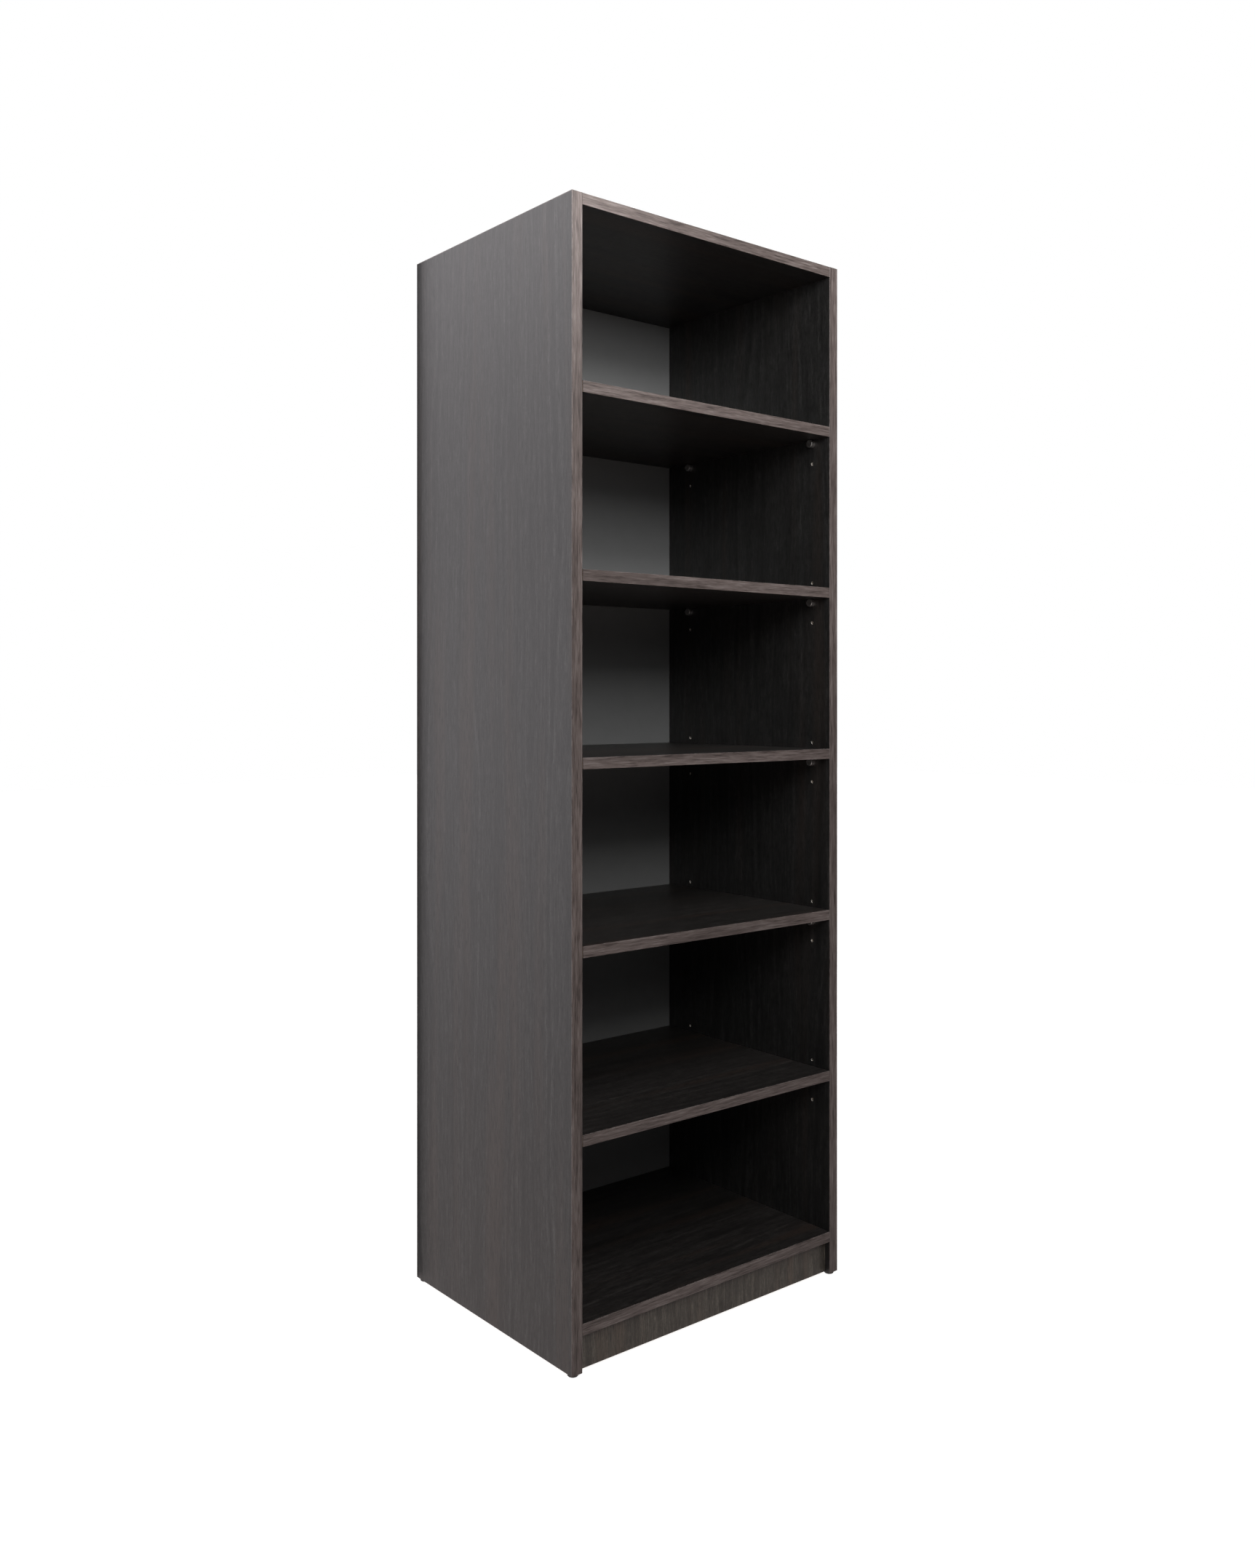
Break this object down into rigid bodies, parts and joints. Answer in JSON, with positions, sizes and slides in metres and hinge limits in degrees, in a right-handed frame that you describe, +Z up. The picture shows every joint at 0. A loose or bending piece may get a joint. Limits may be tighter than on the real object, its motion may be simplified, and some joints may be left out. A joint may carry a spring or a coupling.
{
  "type": "bookcase with adjustable shelves",
  "caption": "Tall narrow open bookcase in dark wood-grain board with lighter edging, pin-held adjustable shelves, a thin grey back, a set-back plinth and round glides.",
  "frame": {"origin": "on the floor, under the middle of the carcass", "axes": "+Z up, the open front faces -Y, +X to the right as seen from the front"},
  "size_m": [0.536, 0.4, 1.604],
  "materials": {
    "wood_grain_board": "dark wenge-like wood-grain melamine, matt",
    "edging": "lighter taupe wood-grain edging, satin",
    "grey_back_board": "plain grey lacquered hardboard",
    "nickel": "satin nickel plating",
    "cam_zinc": "die-cast zinc",
    "steel": "zinc-plated steel",
    "beech": "fluted beech",
    "glide_plastic": "dark grey moulded plastic"
  },
  "bodies": {
    "carcass": {"left_side_panel": "wood_grain_board", "left_side_front_edging": "edging", "left_side_top_edging": "edging", "right_side_panel": "wood_grain_board", "right_side_front_edging": "edging", "right_side_top_edging": "edging", "top_panel": "wood_grain_board", "top_panel_front_edging": "edging", "bottom_panel": "wood_grain_board", "bottom_panel_front_edging": "edging", "plinth_board": "wood_grain_board", "back_panel": "grey_back_board", "glide_front_left": "glide_plastic", "glide_front_right": "glide_plastic", "glide_rear_left": "glide_plastic", "glide_rear_right": "glide_plastic", "glide_nails": "steel", "top_cam_locks": "cam_zinc", "top_cam_bolts": "steel", "top_dowels": "beech", "bottom_cam_locks": "cam_zinc", "bottom_cam_bolts": "steel", "bottom_dowels": "beech", "plinth_cam_locks": "cam_zinc", "plinth_cam_bolts": "steel", "plinth_dowels": "beech"},
    "shelf_1": {"shelf_1_board": "wood_grain_board", "shelf_1_front_edging": "edging"},
    "shelf_2": {"shelf_2_board": "wood_grain_board", "shelf_2_front_edging": "edging"},
    "shelf_3": {"shelf_3_board": "wood_grain_board", "shelf_3_front_edging": "edging"},
    "shelf_4": {"shelf_4_board": "wood_grain_board", "shelf_4_front_edging": "edging"},
    "shelf_5": {"shelf_5_board": "wood_grain_board", "shelf_5_front_edging": "edging"},
    "shelf_1_pin_front_left": {"shelf_1_pin_front_left": "nickel"},
    "shelf_1_pin_front_right": {"shelf_1_pin_front_right": "nickel"},
    "shelf_1_pin_rear_left": {"shelf_1_pin_rear_left": "nickel"},
    "shelf_1_pin_rear_right": {"shelf_1_pin_rear_right": "nickel"},
    "shelf_2_pin_front_left": {"shelf_2_pin_front_left": "nickel"},
    "shelf_2_pin_front_right": {"shelf_2_pin_front_right": "nickel"},
    "shelf_2_pin_rear_left": {"shelf_2_pin_rear_left": "nickel"},
    "shelf_2_pin_rear_right": {"shelf_2_pin_rear_right": "nickel"},
    "shelf_3_pin_front_left": {"shelf_3_pin_front_left": "nickel"},
    "shelf_3_pin_front_right": {"shelf_3_pin_front_right": "nickel"},
    "shelf_3_pin_rear_left": {"shelf_3_pin_rear_left": "nickel"},
    "shelf_3_pin_rear_right": {"shelf_3_pin_rear_right": "nickel"},
    "shelf_4_pin_front_left": {"shelf_4_pin_front_left": "nickel"},
    "shelf_4_pin_front_right": {"shelf_4_pin_front_right": "nickel"},
    "shelf_4_pin_rear_left": {"shelf_4_pin_rear_left": "nickel"},
    "shelf_4_pin_rear_right": {"shelf_4_pin_rear_right": "nickel"},
    "shelf_5_pin_front_left": {"shelf_5_pin_front_left": "nickel"},
    "shelf_5_pin_front_right": {"shelf_5_pin_front_right": "nickel"},
    "shelf_5_pin_rear_left": {"shelf_5_pin_rear_left": "nickel"},
    "shelf_5_pin_rear_right": {"shelf_5_pin_rear_right": "nickel"}
  },
  "joints": [
    {"name": "shelf_1_slide", "type": "slide", "parent": "carcass", "child": "shelf_1", "axis": [0, -1, 0], "range_m": [0, 0.4]},
    {"name": "shelf_2_slide", "type": "slide", "parent": "carcass", "child": "shelf_2", "axis": [0, -1, 0], "range_m": [0, 0.4]},
    {"name": "shelf_3_slide", "type": "slide", "parent": "carcass", "child": "shelf_3", "axis": [0, -1, 0], "range_m": [0, 0.4]},
    {"name": "shelf_4_slide", "type": "slide", "parent": "carcass", "child": "shelf_4", "axis": [0, -1, 0], "range_m": [0, 0.4]},
    {"name": "shelf_5_slide", "type": "slide", "parent": "carcass", "child": "shelf_5", "axis": [0, -1, 0], "range_m": [0, 0.4]},
    {"name": "shelf_1_pin_front_left_pull", "type": "slide", "parent": "carcass", "child": "shelf_1_pin_front_left", "axis": [1, 0, 0], "range_m": [0, 0.0085]},
    {"name": "shelf_1_pin_front_right_pull", "type": "slide", "parent": "carcass", "child": "shelf_1_pin_front_right", "axis": [-1, 0, 0], "range_m": [0, 0.0085]},
    {"name": "shelf_1_pin_rear_left_pull", "type": "slide", "parent": "carcass", "child": "shelf_1_pin_rear_left", "axis": [1, 0, 0], "range_m": [0, 0.0085]},
    {"name": "shelf_1_pin_rear_right_pull", "type": "slide", "parent": "carcass", "child": "shelf_1_pin_rear_right", "axis": [-1, 0, 0], "range_m": [0, 0.0085]},
    {"name": "shelf_2_pin_front_left_pull", "type": "slide", "parent": "carcass", "child": "shelf_2_pin_front_left", "axis": [1, 0, 0], "range_m": [0, 0.0085]},
    {"name": "shelf_2_pin_front_right_pull", "type": "slide", "parent": "carcass", "child": "shelf_2_pin_front_right", "axis": [-1, 0, 0], "range_m": [0, 0.0085]},
    {"name": "shelf_2_pin_rear_left_pull", "type": "slide", "parent": "carcass", "child": "shelf_2_pin_rear_left", "axis": [1, 0, 0], "range_m": [0, 0.0085]},
    {"name": "shelf_2_pin_rear_right_pull", "type": "slide", "parent": "carcass", "child": "shelf_2_pin_rear_right", "axis": [-1, 0, 0], "range_m": [0, 0.0085]},
    {"name": "shelf_3_pin_front_left_pull", "type": "slide", "parent": "carcass", "child": "shelf_3_pin_front_left", "axis": [1, 0, 0], "range_m": [0, 0.0085]},
    {"name": "shelf_3_pin_front_right_pull", "type": "slide", "parent": "carcass", "child": "shelf_3_pin_front_right", "axis": [-1, 0, 0], "range_m": [0, 0.0085]},
    {"name": "shelf_3_pin_rear_left_pull", "type": "slide", "parent": "carcass", "child": "shelf_3_pin_rear_left", "axis": [1, 0, 0], "range_m": [0, 0.0085]},
    {"name": "shelf_3_pin_rear_right_pull", "type": "slide", "parent": "carcass", "child": "shelf_3_pin_rear_right", "axis": [-1, 0, 0], "range_m": [0, 0.0085]},
    {"name": "shelf_4_pin_front_left_pull", "type": "slide", "parent": "carcass", "child": "shelf_4_pin_front_left", "axis": [1, 0, 0], "range_m": [0, 0.0085]},
    {"name": "shelf_4_pin_front_right_pull", "type": "slide", "parent": "carcass", "child": "shelf_4_pin_front_right", "axis": [-1, 0, 0], "range_m": [0, 0.0085]},
    {"name": "shelf_4_pin_rear_left_pull", "type": "slide", "parent": "carcass", "child": "shelf_4_pin_rear_left", "axis": [1, 0, 0], "range_m": [0, 0.0085]},
    {"name": "shelf_4_pin_rear_right_pull", "type": "slide", "parent": "carcass", "child": "shelf_4_pin_rear_right", "axis": [-1, 0, 0], "range_m": [0, 0.0085]},
    {"name": "shelf_5_pin_front_left_pull", "type": "slide", "parent": "carcass", "child": "shelf_5_pin_front_left", "axis": [1, 0, 0], "range_m": [0, 0.0085]},
    {"name": "shelf_5_pin_front_right_pull", "type": "slide", "parent": "carcass", "child": "shelf_5_pin_front_right", "axis": [-1, 0, 0], "range_m": [0, 0.0085]},
    {"name": "shelf_5_pin_rear_left_pull", "type": "slide", "parent": "carcass", "child": "shelf_5_pin_rear_left", "axis": [1, 0, 0], "range_m": [0, 0.0085]},
    {"name": "shelf_5_pin_rear_right_pull", "type": "slide", "parent": "carcass", "child": "shelf_5_pin_rear_right", "axis": [-1, 0, 0], "range_m": [0, 0.0085]}
  ]
}
